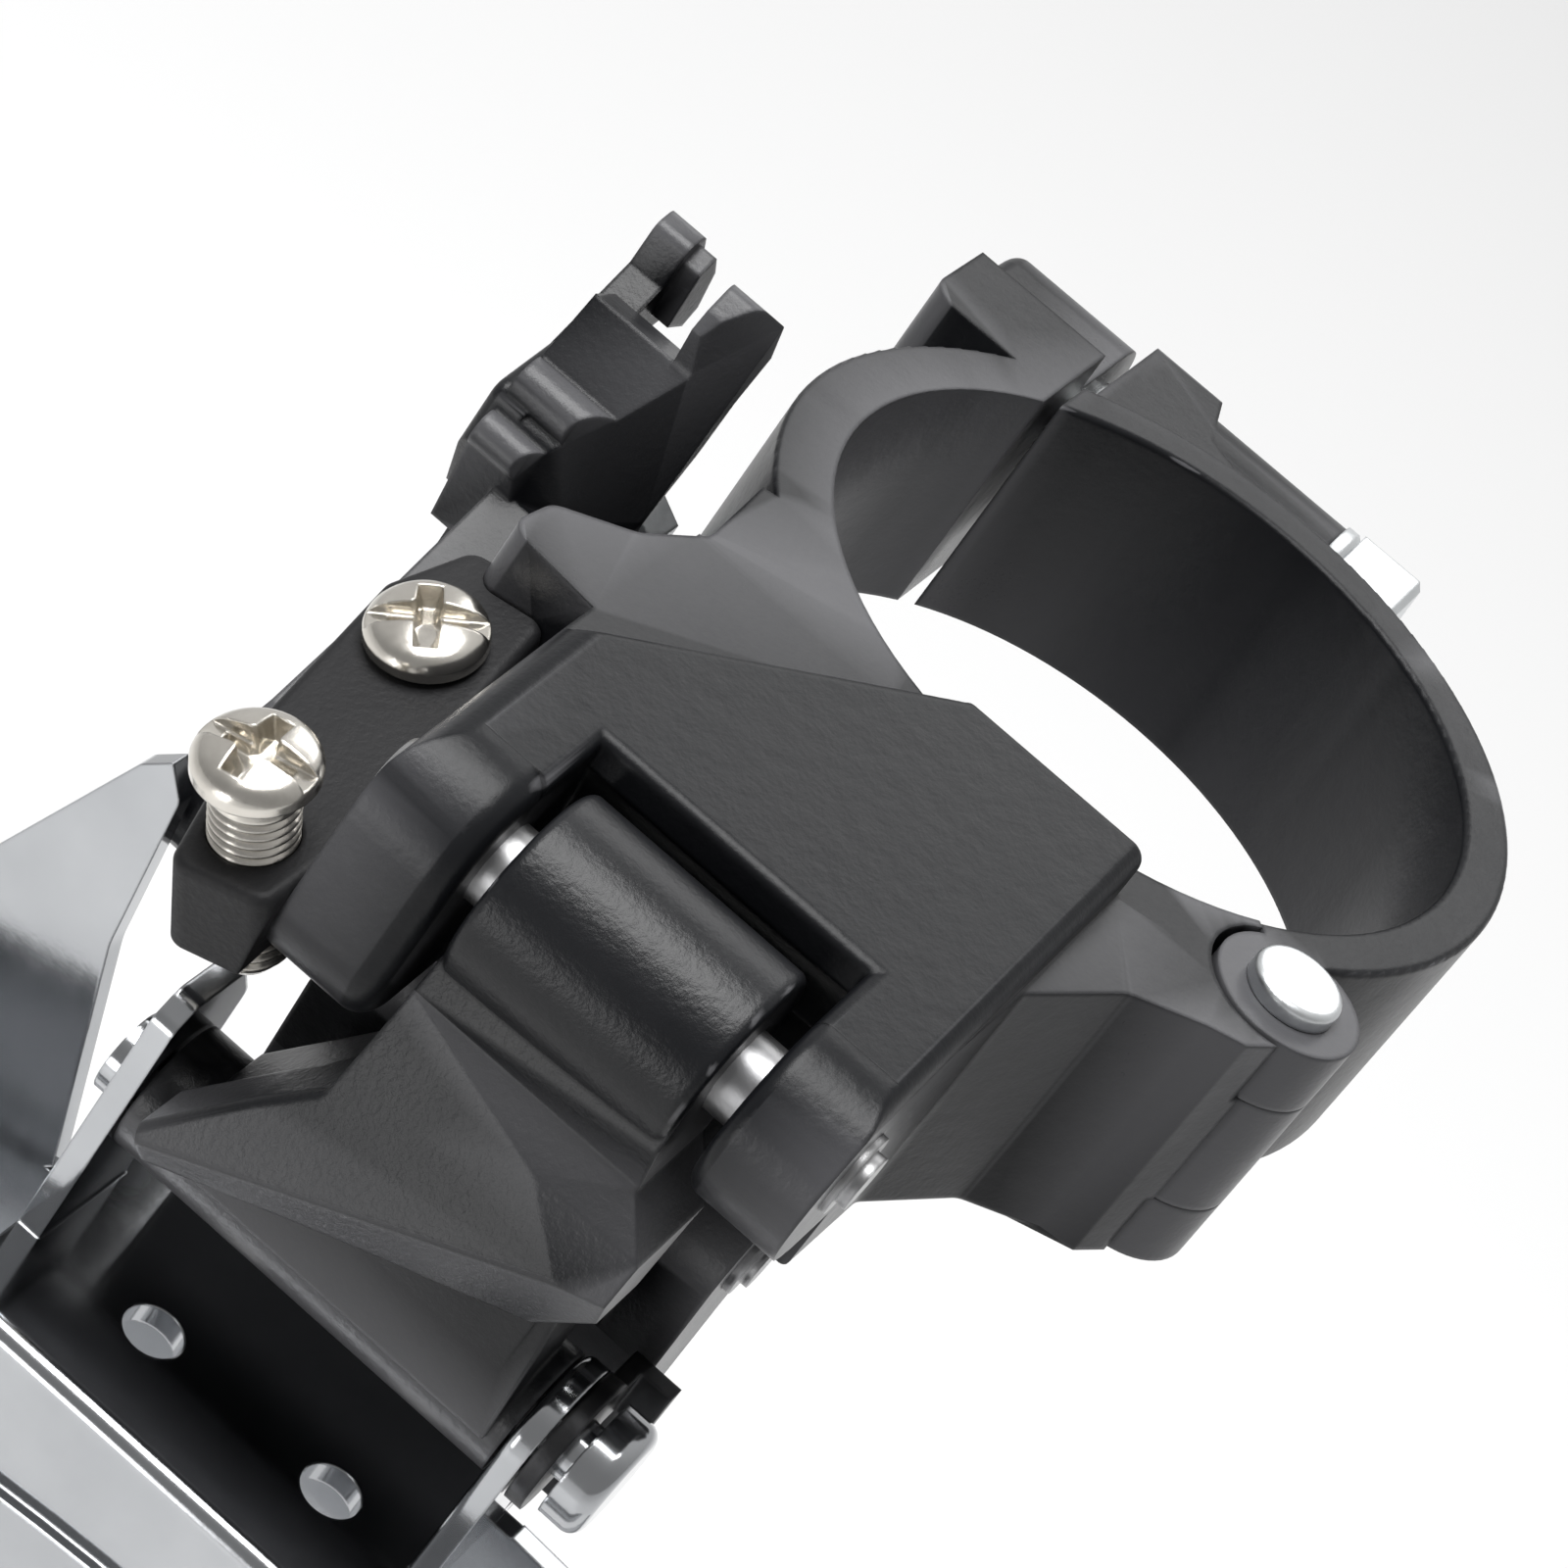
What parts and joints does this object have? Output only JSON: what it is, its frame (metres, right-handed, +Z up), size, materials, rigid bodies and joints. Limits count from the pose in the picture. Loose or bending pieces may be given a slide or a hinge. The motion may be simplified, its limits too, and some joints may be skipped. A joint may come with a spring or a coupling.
{
  "type": "bicycle front derailleur",
  "caption": "Front derailleur with a hinged seat tube clamp, parallelogram links, limit screws, cable arm and a chrome chain cage",
  "frame": {"origin": "middle of the clamp bore, on the axis of the seat tube", "axes": "+Z up along the seat tube, +X outboard towards the chainrings, +Y forward"},
  "size_m": [0.081, 0.091, 0.0947],
  "materials": {
    "black_paint": "gloss",
    "black_plastic": "matte",
    "zinc_steel": "satin",
    "pin_steel": "satin",
    "nickel_steel": "polished",
    "chrome": "polished",
    "black_steel": "satin",
    "spring_steel": "satin"
  },
  "bodies": {
    "bracket_body": {"bracket": "black_paint", "limit_screw_block": "black_plastic", "outer_link_upper_pin": "pin_steel", "inner_link_upper_pin": "pin_steel", "band_hinge_rivet": "zinc_steel", "return_spring": "spring_steel"},
    "band": {"clamp_band": "black_paint"},
    "bolt": {"clamp_bolt": "zinc_steel", "clamp_washer": "zinc_steel"},
    "outer_arm": {"outer_link": "black_paint"},
    "inner_arm": {"inner_link": "black_paint", "cable_anchor_bolt": "zinc_steel", "cable_anchor_plate": "zinc_steel"},
    "cage": {"cage_outer_plate": "chrome", "cage_inner_plate": "chrome", "cage_tail_spacer": "zinc_steel", "cage_tail_screw": "nickel_steel", "cage_tail_nut": "nickel_steel", "outer_link_lower_pin": "chrome", "lower_pin_clip": "black_steel", "inner_link_lower_pin": "pin_steel"},
    "low_screw": {"low_limit_screw": "nickel_steel"},
    "high_screw": {"high_limit_screw": "nickel_steel"}
  },
  "joints": [
    {"name": "outer_link_swing", "type": "hinge", "parent": "bracket_body", "child": "outer_arm", "pos_m": [0.041, 0, 0.0027], "axis": [0, -1, 0], "range_deg": [0, 42], "stiffness_Nm_per_rad": 0.15, "springref_deg": -34.38},
    {"name": "inner_link_swing", "type": "hinge", "parent": "bracket_body", "child": "inner_arm", "pos_m": [0.03, 0, -0.0122], "axis": [0, -1, 0], "range_deg": [0, 42]},
    {"name": "cage_pivot", "type": "hinge", "parent": "outer_arm", "child": "cage", "pos_m": [0.039, 0, -0.0195], "axis": [0, -1, 0], "range_deg": [-42, 0]},
    {"name": "band_hinge", "type": "hinge", "parent": "bracket_body", "child": "band", "pos_m": [0.0157, 0.0153, 0], "axis": [0, 0, -1], "range_deg": [0, 3]},
    {"name": "clamp_bolt_slide", "type": "slide", "parent": "bracket_body", "child": "bolt", "axis": [0, 1, 0], "range_m": [0, 0.0026]},
    {"name": "low_screw_travel", "type": "slide", "parent": "bracket_body", "child": "low_screw", "axis": [0.3195, -0.2695, 0.9085], "range_m": [0, 0.004]},
    {"name": "high_screw_travel", "type": "slide", "parent": "bracket_body", "child": "high_screw", "axis": [0.3195, -0.2695, 0.9085], "range_m": [-0.0015, 0.003]}
  ],
  "couplings": [
    {"joint": "inner_link_swing", "follows": "outer_link_swing", "ratio": 1},
    {"joint": "cage_pivot", "follows": "outer_link_swing", "ratio": -1},
    {"joint": "clamp_bolt_slide", "follows": "band_hinge", "m_per_rad": 0.047}
  ]
}
